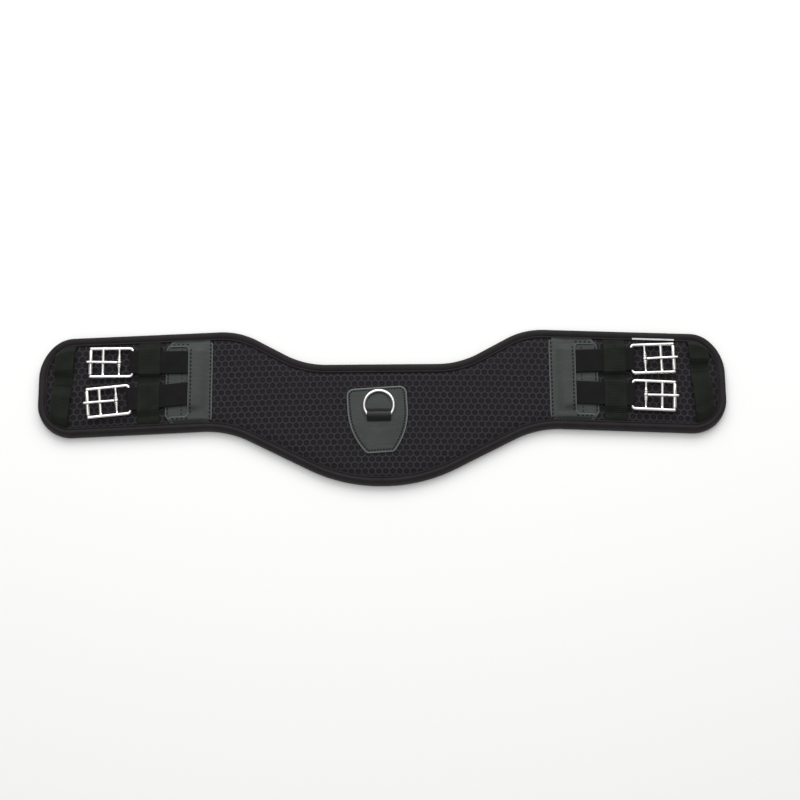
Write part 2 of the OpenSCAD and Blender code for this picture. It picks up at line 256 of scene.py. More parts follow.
def tube(path, radii, sides=20, closed=False):
    """A round bar along path (n, 3) with a radius at each point, ends closed."""
    path = np.asarray(path, float)
    radii = np.broadcast_to(np.asarray(radii, float), (len(path),))
    n = len(path)
    if closed:
        tangents = np.roll(path, -1, 0) - np.roll(path, 1, 0)
    else:
        tangents = np.gradient(path, axis=0)
    tangents /= np.linalg.norm(tangents, axis=1, keepdims=True)
    verts = []
    up = np.array([0.0, 0, 1.0])
    for p, t, r in zip(path, tangents, radii):
        ref = up if abs(t @ up) < 0.9 else np.array([0, 1.0, 0])
        a = unit(np.cross(ref, t))
        b = np.cross(t, a)
        for k in range(sides):
            w = 2 * math.pi * k / sides
            verts.append(p + r * (math.cos(w) * a + math.sin(w) * b))
    return np.array(verts), weave_grid(n, sides, close_rows=closed, close_cols=True,
                                       caps=not closed)


def domed_end(r, steps=5):
    """Distances from the end of a bar, and radii there, for a round end."""
    w = np.linspace(0, math.pi / 2, steps)
    return r * (1 - np.cos(w)), r * np.sin(np.maximum(w, 0.12))


def joined(parts):
    """Several meshes as one."""
    verts, faces, base = [], [], 0
    for v, f in parts:
        verts.append(np.asarray(v, float))
        faces += [[i + base for i in face] for face in f]
        base += len(v)
    return np.concatenate(verts), faces


def fill(points, spacing):
    """Triangles over a closed outline, with inner points about spacing apart."""
    lo, hi = points.min(0), points.max(0)
    xs = np.arange(lo[0] + spacing / 2, hi[0], spacing)
    ys = np.arange(lo[1] + spacing / 2, hi[1], spacing * 0.87)
    gx, gy = np.meshgrid(xs, ys)
    gx[1::2] += spacing / 2
    inner = np.stack([gx.ravel(), gy.ravel()], 1)
    keep = inside(inner, points, spacing * 0.45)
    every = np.concatenate([points, inner[keep]])
    n = len(points)
    loop = list(range(n))
    res = delaunay_2d_cdt([Vector(p) for p in every], [], [loop], 1, 1e-5)
    out_v = np.array([tuple(v) for v in res[0]])
    return out_v, [list(f) for f in res[2]]


def inside(p, poly, margin):
    """Which points (n, 2) lie inside poly by more than margin."""
    a, b = poly, np.roll(poly, -1, 0)
    keep = np.zeros(len(p), bool)
    ab = b - a
    length2 = np.maximum((ab ** 2).sum(1), 1e-12)
    for k in range(0, len(p), 3000):
        q = p[k:k + 3000]
        x, y = q[:, :1], q[:, 1:]
        crosses = (a[None, :, 1] > y) != (b[None, :, 1] > y)
        with np.errstate(divide="ignore", invalid="ignore"):
            at = a[None, :, 0] + (y - a[None, :, 1]) * ab[None, :, 0] / ab[None, :, 1]
        odd = (crosses & (x < at)).sum(1) % 2 == 1
        w = q[:, None, :] - a[None]
        t = np.clip((w * ab[None]).sum(2) / length2, 0, 1)
        d = np.sqrt(((w - t[:, :, None] * ab[None]) ** 2).sum(2)).min(1)
        keep[k:k + 3000] = odd & (d > margin)
    return keep


def capped(rim, first, base, spacing):
    """Triangles over a ring whose points are numbered from first; new ones start at base."""
    points, tris = fill(rim, spacing)
    known = match(rim, points)
    number = {i: first + known[i] for i in known}
    extra = [i for i in range(len(points)) if i not in known]
    number.update({i: base + k for k, i in enumerate(extra)})
    return points[extra], [[number[i] for i in tri] for tri in tris]


def plate(name, corners, under, thick, material, rims, spacing, arc=6, straight=2.0):
    """A sheet of leather or cloth with rounded edges, lying on the height function under(x, y).
    rims are (inset, height drop, mask) from the edge inwards; the last one is filled in."""
    rings = [ring(corners, d, arc=arc, spacing=straight) for d, _, _ in rims]
    n = len(rings[0])
    verts, mask = [], []
    for pts, (d, drop, m) in zip(rings, rims):
        z = under(pts[:, 0], pts[:, 1]) + thick - drop
        verts.append(np.column_stack([pts, z]))
        mask.append(np.full(n, m))
    base = n * len(rims)
    top, tris = capped(rings[-1], base - n, base, spacing)
    verts.append(np.column_stack([top, under(top[:, 0], top[:, 1]) + thick - rims[-1][1]]))
    mask.append(np.full(len(top), rims[-1][2]))
    faces = weave_grid(len(rims), n, close_cols=True) + tris
    base += len(top)
    bottom = ring(corners, 0.25, arc=arc, spacing=straight)
    verts.append(np.column_stack([bottom, under(bottom[:, 0], bottom[:, 1])]))
    mask.append(np.full(n, rims[0][2]))
    faces += [[i, (i + 1) % n, base + (i + 1) % n, base + i] for i in range(n)]
    low, tris = capped(bottom, base, base + n, spacing * 2)
    verts.append(np.column_stack([low, under(low[:, 0], low[:, 1])]))
    mask.append(np.zeros(len(low)))
    faces += [tri[::-1] for tri in tris]
    return make(name, np.concatenate(verts), faces, material,
                masks={"edge": np.concatenate(mask)})


def match(points, every):
    """Index in points of each point of every that is one of them."""
    found = {}
    for i, p in enumerate(every):
        gap = np.abs(points - p).max(1)
        if gap.min() < 0.003:
            found[i] = int(gap.argmin())
    return found


def laid(x, y, under, lift):
    """Points of a stitch row on a surface."""
    return np.column_stack([x, y, under(x, y) + lift])


def stitches(name, paths, pitch, length, width, height):
    """A row of thread stitches along each path (n, 3), one mesh."""
    unit_v, sides = [], 6
    for s, r in ((-0.5, 0.25), (-0.36, 0.85), (0.0, 1.0), (0.36, 0.85), (0.5, 0.25)):
        for k in range(sides):
            w = 2 * math.pi * k / sides
            unit_v.append((s, 0.5 * r * math.cos(w), 0.5 * r * math.sin(w)))
    unit_v = np.array(unit_v)
    unit_f = weave_grid(5, sides, close_cols=True, caps=True)
    verts, faces, base = [], [], 0
    for path in paths:
        path = np.asarray(path, float)
        seg = np.linalg.norm(np.diff(path, axis=0), axis=1)
        s = np.concatenate([[0], np.cumsum(seg)])
        count = int(s[-1] / pitch)
        for k in range(count):
            m = (k + 0.5) * s[-1] / count
            p, a, b = (np.array([np.interp(q, s, path[:, i]) for i in range(3)])
                       for q in (m, m - length / 2, m + length / 2))
            t = unit(b - a)
            side = unit(np.cross([0, 0, 1.0], t))
            up = np.cross(t, side)
            v = (p + unit_v[:, :1] * length * t + unit_v[:, 1:2] * width * side
                 + unit_v[:, 2:] * height * up)
            verts.append(v)
            faces += [[i + base for i in f] for f in unit_f]
            base += len(v)
    o = make(name, np.concatenate(verts), faces, M_THREAD)
    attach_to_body(o, "girth")


# ---------------------------------------------------------------- materials


class Nodes:
    def __init__(self, name):
        self.material = bpy.data.materials.new(name)
        self.material.use_nodes = True
        self.tree = self.material.node_tree
        self.shader = self.tree.nodes["Principled BSDF"]
        self.coords = self.tree.nodes.new("ShaderNodeTexCoord")

    def add(self, kind, **values):
        n = self.tree.nodes.new(kind)
        for key, value in values.items():
            if hasattr(n, key) and key not in n.inputs:
                setattr(n, key, value)
            else:
                n.inputs[key].default_value = value
        return n

    def link(self, a, b):
        self.tree.links.new(a, b)

    def noise(self, scale, detail=3.0, stretch=None):
        n = self.add("ShaderNodeTexNoise")
        n.inputs["Scale"].default_value = scale
        n.inputs["Detail"].default_value = detail
        source = self.coords.outputs["Object"]
        if stretch:
            m = self.add("ShaderNodeMapping")
            m.inputs["Scale"].default_value = stretch
            self.link(source, m.inputs["Vector"])
            source = m.outputs["Vector"]
        self.link(source, n.inputs["Vector"])
        return n.outputs["Fac"]

    def mix(self, factor, a, b):
        m = self.add("ShaderNodeMix", data_type="RGBA")
        self.put(factor, m.inputs["Factor"])
        self.put(a, m.inputs[6])
        self.put(b, m.inputs[7])
        return m.outputs[2]

    def put(self, value, socket):
        if isinstance(value, (int, float)):
            socket.default_value = value
        elif isinstance(value, tuple):
            socket.default_value = (*value, 1.0)
        else:
            self.link(value, socket)

    def ramp(self, factor, lo, hi):
        m = self.add("ShaderNodeMapRange")
        self.link(factor, m.inputs["Value"])
        m.inputs["From Min"].default_value = lo
        m.inputs["From Max"].default_value = hi
        return m.outputs["Result"]

    def math(self, op, a, b=0.0):
        m = self.add("ShaderNodeMath", operation=op)
        self.put(a, m.inputs[0])
        self.put(b, m.inputs[1])
        return m.outputs["Value"]

    def attribute(self, name):
        return self.add("ShaderNodeAttribute", attribute_name=name).outputs["Fac"]

    def bump(self, height, strength, distance, after=None):
        b = self.add("ShaderNodeBump")
        b.inputs["Strength"].default_value = strength
        b.inputs["Distance"].default_value = distance
        self.link(height, b.inputs["Height"])
        if after is not None:
            self.link(after, b.inputs["Normal"])
        return b.outputs["Normal"]

    def finish(self, color, roughness, normal=None, **plain):
        self.put(color, self.shader.inputs["Base Color"])
        self.put(roughness, self.shader.inputs["Roughness"])
        if normal is not None:
            self.link(normal, self.shader.inputs["Normal"])
        for key, value in plain.items():
            self.shader.inputs[key.replace("_", " ")].default_value = value
        return self.material


def cover_material():
    n = Nodes("cover_fabric")
    # painted sheen and shade: the raised ridges of the cells are painted light and their hollows
    # painted dark
    painted_sheen_shade = n.attribute("painted_sheen_shade")
    dark, light = (0.0030, 0.0026, 0.0036), (0.0335, 0.0300, 0.0350)
    base = n.mix(painted_sheen_shade, dark, light)
    worn = n.ramp(n.noise(150, 3), 0.35, 0.75)
    base = n.mix(n.math("MULTIPLY", worn, 0.45), base, (0.0135, 0.0122, 0.0145))
    fluff = n.ramp(n.noise(650, 2), 0.45, 0.8)
    base = n.mix(n.math("MULTIPLY", fluff, 0.3), base, (0.033, 0.030, 0.035))
    grain = n.noise(2600, 2)
    normal = n.bump(grain, 0.5, 0.00025)
    return n.finish(base, 0.72, normal, Specular_IOR_Level=0.13, Sheen_Weight=0.05,
                    Sheen_Roughness=0.45)


def plain_fabric(name, dark, light, grain=2200, rough=0.8, sheen=0.2, spec=0.3, stretch=None,
                 depth=0.0002):
    n = Nodes(name)
    blotch = n.ramp(n.noise(70, 5), 0.3, 0.7)
    fine = n.noise(grain, 2, stretch)
    base = n.mix(blotch, dark, light)
    base = n.mix(n.math("MULTIPLY", n.ramp(fine, 0.35, 0.65), 0.4), base, light)
    normal = n.bump(fine, 0.6, depth)
    return n.finish(base, rough, normal, Specular_IOR_Level=spec, Sheen_Weight=sheen,
                    Sheen_Roughness=0.5)


def leather_material(name="leather", shade=1.0):
    """Grained leather, lighter along its cut edge; shade below 1 darkens it: a darker hide for the
    leather, painted shade for the ring's tab.
    """
    def tone(r, g, b):
        return (r * shade, g * shade, b * shade)

    n = Nodes(name)
    cells = n.add("ShaderNodeTexVoronoi", feature="DISTANCE_TO_EDGE")
    cells.inputs["Scale"].default_value = 900
    n.link(n.coords.outputs["Object"], cells.inputs["Vector"])
    grain = n.ramp(cells.outputs["Distance"], 0.0, 0.25)
    blotch = n.ramp(n.noise(75, 5), 0.3, 0.7)
    base = n.mix(blotch, tone(0.023, 0.030, 0.0265), tone(0.040, 0.0495, 0.0445))
    dull = n.ramp(n.noise(28, 2), 0.38, 0.62)
    base = n.mix(n.math("MULTIPLY", dull, 0.55), base, tone(0.016, 0.0215, 0.0185))
    crease = n.ramp(n.noise(120, 4, (0.25, 2.2, 1)), 0.52, 0.72)
    base = n.mix(n.math("MULTIPLY", crease, 0.5), base, tone(0.056, 0.064, 0.060))
    base = n.mix(n.math("MULTIPLY", n.math("SUBTRACT", 1.0, grain), 0.35), base,
                 tone(0.016, 0.020, 0.018))
    edge = n.ramp(n.attribute("edge"), 0.35, 0.8)
    base = n.mix(edge, base, tone(0.185, 0.215, 0.20))
    soft = n.noise(260, 4, (0.5, 1.6, 1))
    normal = n.bump(soft, 0.35, 0.0006, n.bump(grain, 0.4, 0.00015))
    rough = n.math("ADD", n.math("MULTIPLY", blotch, 0.14), 0.40)
    return n.finish(base, rough, normal, Specular_IOR_Level=0.35)


def steel_material():
    n = Nodes("polished_steel")
    fine = n.noise(900, 3, (1, 1, 6))
    rough = n.math("ADD", n.math("MULTIPLY", n.ramp(fine, 0.3, 0.7), 0.08), 0.13)
    smear = n.ramp(n.noise(140, 4), 0.3, 0.7)
    base = n.mix(smear, (0.70, 0.69, 0.665), (0.86, 0.85, 0.83))
    return n.finish(base, rough, n.bump(n.noise(400, 2), 0.05, 0.0003), Metallic=1.0)


M_COVER = cover_material()
M_BINDING = plain_fabric("binding_fabric", (0.0100, 0.0078, 0.0095), (0.0165, 0.0130, 0.0150),
                         grain=1500, rough=0.6, sheen=0.04, spec=0.17)
M_LINING = plain_fabric("lining_fabric", (0.020, 0.019, 0.021), (0.034, 0.032, 0.035),
                        grain=1300, rough=0.9, sheen=0.5, stretch=(1, 0.35, 1))
M_STRAP = plain_fabric("strap_elastic", (0.0052, 0.0053, 0.0052), (0.0085, 0.0087, 0.0084),
                       grain=1800, rough=0.7, sheen=0.03, spec=0.08, stretch=(0.25, 1, 1))
M_KEEPER = plain_fabric("keeper_elastic", (0.0070, 0.0085, 0.0064), (0.0140, 0.0165, 0.0125),
                        grain=1600, rough=0.78, sheen=0.04, spec=0.09, stretch=(1, 0.4, 1))
M_THREAD = plain_fabric("thread", (0.003, 0.003, 0.003), (0.006, 0.006, 0.006),
                        grain=3000, rough=0.6, sheen=0.0, spec=0.1)
M_FOAM = plain_fabric("foam", (0.030, 0.030, 0.032), (0.050, 0.050, 0.052), grain=900, rough=0.95,
                      sheen=0.1)
M_WEBBING = plain_fabric("webbing", (0.20, 0.18, 0.15), (0.30, 0.28, 0.24), grain=1100,
                         rough=0.85, stretch=(1, 0.3, 1))
M_LABEL = plain_fabric("label_weave", (0.42, 0.43, 0.44), (0.60, 0.61, 0.62), grain=1400,
                       rough=0.45, sheen=0.1, spec=0.6, stretch=(0.4, 1, 1))
M_LEATHER = leather_material("leather", 0.8)
# the ring's tab is this leather painted far darker: painted shade for the shadowed sides of its
# loop
M_TAB_PAINTED_SHADE = leather_material("tab_leather_painted_shade", 0.17)
M_STEEL = steel_material()

# ---------------------------------------------------------------- pad

LIP_TOP = 10.75         # top of the narrow lip inside that seam
TUCK = 6.4              # how far under the binding the cover and leather reach


def face_height(x, y, d=None):
    """Top of the cover: level in the middle, sinking into the binding's crease."""
    if d is None:
        d = edge_distance(np.column_stack([np.ravel(x), np.ravel(y)])).reshape(np.shape(x))
    sink = 1 - smooth((d - TUCK) / 12.5)
    return FACE_Z - 0.35 - 1.9 * sink + 0.12 * wobble(x, y, 70, 3) * (1 - sink)


def bowed(p):
    """The rows of cells, curved with the girth."""
    return p - np.column_stack([0 * p[:, 0], 3.5 * (p[:, 0] / 200) ** 2])


def cover():
    """The embossed outer cloth: one mesh of hexagonal cells, with a plain back."""
    pitch = 7.4
    row = pitch * math.sqrt(3) / 2
    cells = []
    for j in range(-16, 19):
        for i in range(-53, 54):
            cells.append(((i + 0.5 * (j % 2)) * pitch, j * row))
    cells = np.array(cells)
    cells = cells[edge_distance(bowed(cells)) > TUCK - pitch * 0.62]
    corner = pitch / math.sqrt(3)
    # rings of a cell: (share of the way to the ridge line, height, painted lightness: painted
    # sheen on the ridge, painted shade in the hollow)
    rings = ((1.0, 0.34, 1.0), (0.86, 0.30, 1.0), (0.74, 0.0, 0.12), (0.34, 0.07, 0.08))
    keys, verts, faces, painted_sheen_shade, height, rims = {}, [], [], [], [], []

    def vert(x, y, h, m):
        key = (round(x, 2), round(y, 2))
        if key not in keys:
            keys[key] = len(verts)
            verts.append((x, y))
            height.append(h)
            painted_sheen_shade.append(m)
        return keys[key]

    angles = [math.pi / 6 + k * math.pi / 3 for k in range(6)]
    for cx, cy in cells:
        loops = []
        for share, h, m in rings:
            loop = []
            for k in range(6):
                a, b = angles[k], angles[(k + 1) % 6]
                p = np.array([math.cos(a), math.sin(a)]) * corner * share
                q = np.array([math.cos(b), math.sin(b)]) * corner * share
                bulge = 1.0 if share == 1.0 else 1.03
                mid = (p + q) / 2 * bulge
                loop += [vert(cx + p[0], cy + p[1], h, m), vert(cx + mid[0], cy + mid[1], h, m)]
            loops.append(loop)
        rims.append(loops[0])
        for a, b in zip(loops, loops[1:]):
            faces += [[a[k], a[(k + 1) % 12], b[(k + 1) % 12], b[k]] for k in range(12)]
        # the cell's raised middle, with a little painted sheen
        top = vert(cx, cy, 0.16, 0.25)
        faces += [[loops[-1][k], loops[-1][(k + 1) % 12], top] for k in range(12)]
    p = push_in(bowed(np.array(verts)), TUCK)
    d = edge_distance(p)
    fade = smooth((d - TUCK - 0.5) / 5.0)
    z = face_height(p[:, 0], p[:, 1], d) + np.array(height) * (0.25 + 0.75 * fade)
    # the painted sheen and shade weaken with the emboss towards the edge
    painted_sheen_shade = np.array(painted_sheen_shade) * (0.35 + 0.65 * fade)
    front = np.column_stack([p, z])
    back = {}
    for i in [i for rim in rims for i in rim]:
        back.setdefault(i, len(front) + len(back))
    rear = front[list(back)] - np.array([0, 0, 1.0])
    faces += [[back[i] for i in reversed(rim)] for rim in rims]
    sides = [(rim[k], rim[(k + 1) % 12]) for rim in rims for k in range(12)]
    uses = Counter(frozenset(side) for side in sides)
    faces += [[b, a, back[a], back[b]] for a, b in sides if uses[frozenset((a, b))] == 1]
    o = make("cover", np.concatenate([front, rear]), faces, M_COVER,
             masks={"painted_sheen_shade": np.concatenate([painted_sheen_shade, np.zeros(len(rear))])}, wound=True)
    attach(o, "girth", "face_cover")
    return o


def binding():
    """A folded strip swept round the edge, sewn down in a groove with a narrow lip inside it."""
    top = FLANGE_TOP - 0.05
    # (inset, height) all round, and where the same point lies on the sloping near side
    profile = [((9.6, 8.8), (9.9, 8.8)), ((9.5, 10.2), (9.8, 10.2)), ((9.2, 10.6), (9.5, 10.6)),
               ((8.6, LIP_TOP), (9.0, LIP_TOP)), ((8.1, 10.6), (8.5, 10.6)),
               ((7.7, 10.2), (8.1, 10.15)), ((7.3, 10.2), (7.7, 10.15)),
               ((6.9, 10.65), (7.3, 10.65)), ((6.2, 11.05), (6.7, 11.1)),
               ((5.2, 11.45), (5.9, 11.45)), ((4.1, 11.7), (5.0, 11.5)), ((3.1, top), (4.1, 11.2)),
               ((2.2, 11.55), (3.2, 10.6)), ((1.4, 11.1), (2.4, 9.8)), ((0.75, 10.3), (1.6, 8.8)),
               ((0.3, 9.1), (0.9, 7.6)), ((0.06, 7.6), (0.4, 6.2)), ((0.0, 6.0), (0.1, 4.8)),
               ((0.05, 4.4), (0.0, 3.4)), ((0.3, 3.0), (0.1, 2.2)), ((0.8, 1.9), (0.5, 1.3)),
               ((1.5, 1.1), (1.2, 0.8)), ((2.4, 0.7), (2.2, 0.6)), ((3.8, 0.55), (3.8, 0.55)),
               ((5.6, 0.55), (5.6, 0.55)), ((6.8, 0.6), (6.8, 0.6)), ((7.6, 0.8), (7.6, 0.8)),
               ((7.9, 1.5), (7.9, 1.5)), ((6.6, 1.7), (6.6, 1.7)), ((3.6, 1.5), (3.6, 1.5)),
               ((1.9, 2.8), (1.9, 2.4)), ((1.1, 5.0), (1.2, 4.4)), ((1.1, 7.4), (1.8, 6.0)),
               ((1.7, 9.6), (3.2, 8.4)), ((3.4, 10.5), (5.0, 9.6)), ((5.6, 10.1), (6.4, 9.9)),
               ((6.9, 8.7), (7.2, 8.7))]
    outline = ring(body_corners, 0.0, **BODY)
    along = np.roll(outline, -1, 0) - np.roll(outline, 1, 0)
    along /= np.linalg.norm(along, axis=1, keepdims=True)
    near = smooth((along[:, 0] * -1 - 0.1) / 0.8)
    loops = []
    for (d, z), (d_near, z_near) in profile:
        a, b = ring(body_corners, d, **BODY), ring(body_corners, d_near, **BODY)
        xy = a + (b - a) * near[:, None]
        loops.append(np.column_stack([xy, z + (z_near - z) * near]))
    loops = np.array(loops)
    n = loops.shape[1]
    s = np.arange(n) / n * 2 * math.pi
    ripple = sum(a * np.sin(k * s + ph) for a, k, ph in
                 ((0.07, 41, 0.4), (0.06, 67, 2.1), (0.05, 113, 1.0), (0.04, 190, 3.3)))
    pucker = 0.08 * np.sin(s * int(n / 2.6))
    for i, ((d, z), _) in enumerate(profile[:18]):
        if d < 6.5:
            loops[i, :, 2] += ripple * 0.8
        else:
            loops[i, :, 2] += pucker
    loops[:, :, 2] = np.minimum(loops[:, :, 2], FLANGE_TOP + 0.15)
    faces = weave_grid(len(loops), n, close_rows=True, close_cols=True)
    o = make("binding", loops.reshape(-1, 3), faces, M_BINDING)
    attach(o, "girth", "edge_binding")
    row = (loops[5, :, :2] + loops[6, :, :2]) / 2
    row = np.concatenate([row, row[:1]])
    stitches("binding_stitches", [np.column_stack([row, np.full(len(row), 10.25)])],
             3.2, 2.3, 0.6, 0.5)
    under = ring(body_corners, BINDING - 1.6, **BODY)
    under = np.concatenate([under, under[:1]])
    stitches("binding_stitches_under", [np.column_stack([under, np.full(len(under), 0.5)])],
             3.2, 2.3, 0.55, 0.3)


def lining():
    """The flat cloth underneath, turned up towards the binding."""
    def under(x, y):
        d = edge_distance(np.column_stack([x, y]))
        return 1.0 * (1 - smooth((d - 6.8) / 8.0)) + 0.02

    outline = inset(body_corners, TUCK)
    o = plate("lining_cloth", outline, under, 1.4, M_LINING,
              [(0.0, 0.4, 0), (0.5, 0.1, 0), (2.0, 0.0, 0)], 6.0, arc=14, straight=5.0)
    attach(o, "girth", "lining")


def foam():
    """The pad between cover and lining, bulging at its side."""
    # (inset, height) from the underside round the bulging side to the flat top
    levels = [(6.0, 1.75), (3.2, 3.8), (2.4, 5.6), (3.4, 6.8), (6.0, 7.3), (14.0, 8.3)]
    rings = [ring(body_corners, d, arc=8, spacing=6.0) for d, z in levels]
    n = len(rings[0])
    verts = [np.column_stack([pts, np.full(n, z)]) for pts, (d, z) in zip(rings, levels)]
    faces = weave_grid(len(rings), n, close_cols=True)
    base = n * len(rings)
    for pts, first, z in ((rings[-1], base - n, levels[-1][1]), (rings[0], 0, levels[0][1])):
        inner, tris = capped(pts, first, base, 9.0)
        dimples = 0.05 * wobble(inner[:, 0], inner[:, 1], 30, 5)
        verts.append(np.column_stack([inner, z + dimples]))
        faces += tris
        base += len(inner)
    o = make("foam_pad", np.concatenate(verts), faces, M_FOAM)
    attach(o, "girth", "foam_core")


# ---------------------------------------------------------------- leather

# (inset, height drop, light cut edge) of a leather edge, with the dent of a stitch row
def leather_rims(row=None, pale=0.62):
    rims = [(0.0, 0.75, 1.0), (0.1, 0.35, 1.0), (0.32, 0.1, 1.0), (pale, 0.0, 0.45),
            (pale + 0.3, 0.0, 0.0)]
    if row:
        rims += [(row - 0.75, 0.0, 0.0), (row - 0.35, 0.2, 0.0), (row, 0.3, 0.0),
                 (row + 0.35, 0.2, 0.0), (row + 0.75, 0.0, 0.0)]
    return rims + [((row or 0) + 1.6, 0.0, 0.0)]


UNDER_LIP = 8.2         # leather and elastic end this far inside the outline


def sunk(x, y):
    """1 under the lip of the binding, falling to 0 a little inside it."""
    return 1 - smooth((depth_at(x, y) - UNDER_LIP - 0.4) / 4.5)


def depth_at(x, y):
    return edge_distance(np.column_stack([np.ravel(x), np.ravel(y)])).reshape(np.shape(x))


def to_side(corners, side):
    """Right-end corners, or their mirror image for the left end."""
    return corners if side > 0 else [(-x, y, r) for x, y, r in reversed(corners)]


def front_edge(x):
    """The outline's straight far side at the right end."""
    return SHOULDER_Y - END_FALL / (HALF - END_IN - SHOULDER_X) * (x - SHOULDER_X)


def rear_edge(x):
    """The outline's straight near side at the right end."""
    return -END_DROP + FLANK_RISE * (HALF - x) / (HALF - FLANK_X)


BAND_IN, BAND_OUT = HALF - 190.8, HALF - 162.8
PATCH_OUT = HALF - 138.3
ARM, TIP, SLANT = 8.5, HALF - 141.3, 6.5


def patch_under(x, y):
    return FACE_Z - 0.15 - 1.9 * sunk(x, y)


def under_patches():
    """The leather patch under the straps, one at each end."""
    f, r = front_edge(PATCH_OUT), rear_edge(PATCH_OUT)
    x0 = BAND_OUT - 12
    for side, tag in ((1, "right"), (-1, "left")):
        corners = [(x0, front_edge(x0) - UNDER_LIP, 0.5), (PATCH_OUT - 7, f - UNDER_LIP, 1.0),
                   (PATCH_OUT, f - BINDING - 9.5, 2.0), (PATCH_OUT, r + BINDING + 10, 2.0),
                   (PATCH_OUT - 7, r + UNDER_LIP, 1.0), (x0, rear_edge(x0) + UNDER_LIP, 0.5)]
        o = plate("under_leather_" + tag, to_side(corners, side), patch_under, LEATHER,
                  M_LEATHER, leather_rims(2.3), 2.5, arc=5)
        attach(o, "girth", "under_patch_" + tag)
        rows = []
        for back in (2.3, 17.5):
            y = np.linspace(rear_edge(PATCH_OUT) + 9, front_edge(PATCH_OUT) - 9, 60)
            if back < 5:
                y = y[(y > r + BINDING + 10) & (y < f - BINDING - 9.5)]
            x = np.full(len(y), side * (PATCH_OUT - back))
            rows.append(laid(x, y, patch_under, LEATHER - 0.1))
        for top, sign in ((f - BINDING, -1), (r + BINDING, 1)):
            t = np.linspace(0.25, 1, 12)
            x = side * (PATCH_OUT - 2.6 - 6.2 * t)
            y = top + sign * (9.2 * (1 - t))
            rows.append(laid(x, y, patch_under, LEATHER - 0.1))
        stitches("under_stitches_" + tag, rows, 4.2, 2.7, 1.4, 0.5)


def band_under(ends):
    """Underside of the band: on the cover, then over the patch and both strap roots."""
    far = max(s.centre_y(BAND_OUT) for s in ends) + STRAP_W / 2
    near = min(s.centre_y(BAND_OUT) for s in ends) - STRAP_W / 2

    def height(x, y):
        step = smooth((np.abs(x) - (BAND_IN + 4)) / 12.0)
        lift = smooth((np.abs(x) - (BAND_IN + 2)) / 22.0)
        over = smooth((far + 8.0 - y) / 8.5) * smooth((y - near + 8.0) / 8.5)
        base = FACE_Z - 0.15 + 1.3 * step + 2.75 * lift * over
        return base - (1.9 + 1.2 * step) * sunk(x, y)
    return height


def bands():
    """The leather band over the strap roots, with an arm along each binding."""
    for side, tag in ((1, "right"), (-1, "left")):
        ends = [s for s in STRAPS if s.side == side]
        under = band_under(ends)
        inner = BAND_IN + (2.2 if side < 0 else 0.0)
        ft, rt = front_edge(TIP), rear_edge(TIP)
        fb, rb = front_edge(BAND_OUT), rear_edge(BAND_OUT)
        fi, ri = front_edge(BAND_IN), rear_edge(BAND_IN) - 1.0
        corners = [(inner, fi - UNDER_LIP - 0.6, 7.0), (TIP - SLANT, ft - UNDER_LIP, 1.0),
                   (TIP, ft - BINDING - ARM, 1.2), (BAND_OUT + 0.3, fb - BINDING - ARM, 4.5),
                   (BAND_OUT, rb + BINDING + ARM, 4.5), (TIP, rt + BINDING + ARM, 1.2),
                   (TIP - SLANT, rt + UNDER_LIP, 1.0), (inner, ri + UNDER_LIP + 0.6, 7.0)]
        o = plate("band_leather_" + tag, to_side(corners, side), under, LEATHER, M_LEATHER,
                  leather_rims(), 1.2, arc=6, straight=1.2)
        attach(o, "girth", "strap_band_" + tag)
        rows = []
        y = np.linspace(ri + BINDING + 2, fi - BINDING - 2, 120)
        x = np.full(len(y), side * (inner + 2.4))
        rows.append(laid(x, y, under, LEATHER - 0.02))
        y = np.linspace(rb + BINDING + ARM + 2.5, fb - BINDING - ARM - 2.5, 120)
        x = np.full(len(y), side * (BAND_OUT - 2.7))
        rows.append(laid(x, y, under, LEATHER - 0.02))
        for edge, sign in ((front_edge, 1), (rear_edge, -1)):
            xs = np.linspace(BAND_OUT - 1, TIP - 3, 30)
            y = edge(xs) - sign * (BINDING + ARM - 2.4)
            x = side * xs
            rows.append(laid(x, y, under, LEATHER - 0.02))
        stitches("band_stitches_" + tag, rows, 4.2, 2.8, 1.6, 0.5)


def turned(corners, centre, degrees):
    """Corners turned about the origin and moved to centre."""
    c, s = math.cos(math.radians(degrees)), math.sin(math.radians(degrees))
    return [(centre[0] + x * c - y * s, centre[1] + x * s + y * c, r) for x, y, r in corners]


def shield():
    """The centre patch, domed a little over the pad."""
    lo, hi = node_box("centre_patch")
    centre = ((lo[0] + hi[0]) / 2, (lo[1] + hi[1]) / 2)
    corners = turned(mirrored([(32.5, 36.0, 8.0), (32.5, -13.5, 72.0), (14.8, -36.0, 4.5)]),
                     centre, 3.5)
    drawn = ring(corners, arc=10)
    off = np.array(centre) - (drawn.max(0) + drawn.min(0)) / 2
    corners = [(x + off[0], y + off[1], r) for x, y, r in corners]

    def under(x, y):
        r = np.hypot((x - centre[0]) / 34, (y - centre[1]) / 38)
        return FACE_Z - 0.12 + 0.5 * smooth((1 - r) / 0.6) + 0.14 * wobble(x, y, 26, 11)

    o = plate("centre_leather", corners, under, LEATHER, M_LEATHER, leather_rims(2.9, 1.3), 1.6,
              arc=10, straight=2.0)
    attach(o, "girth", "centre_patch")
    row = ring(inset(corners, 2.9), 0.0, arc=10, spacing=2.0)
    row = np.concatenate([row, row[:1]])
    z = under(row[:, 0], row[:, 1]) + LEATHER - 0.14
    stitches("centre_stitches", [np.column_stack([row, z])], 3.1, 2.0, 1.9, 0.5)


# ---------------------------------------------------------------- straps

STRAP_W = 25.0
PLY = 1.2
JOINTS = {j["name"]: j for j in RECORD["behaviour"]["joints"]}


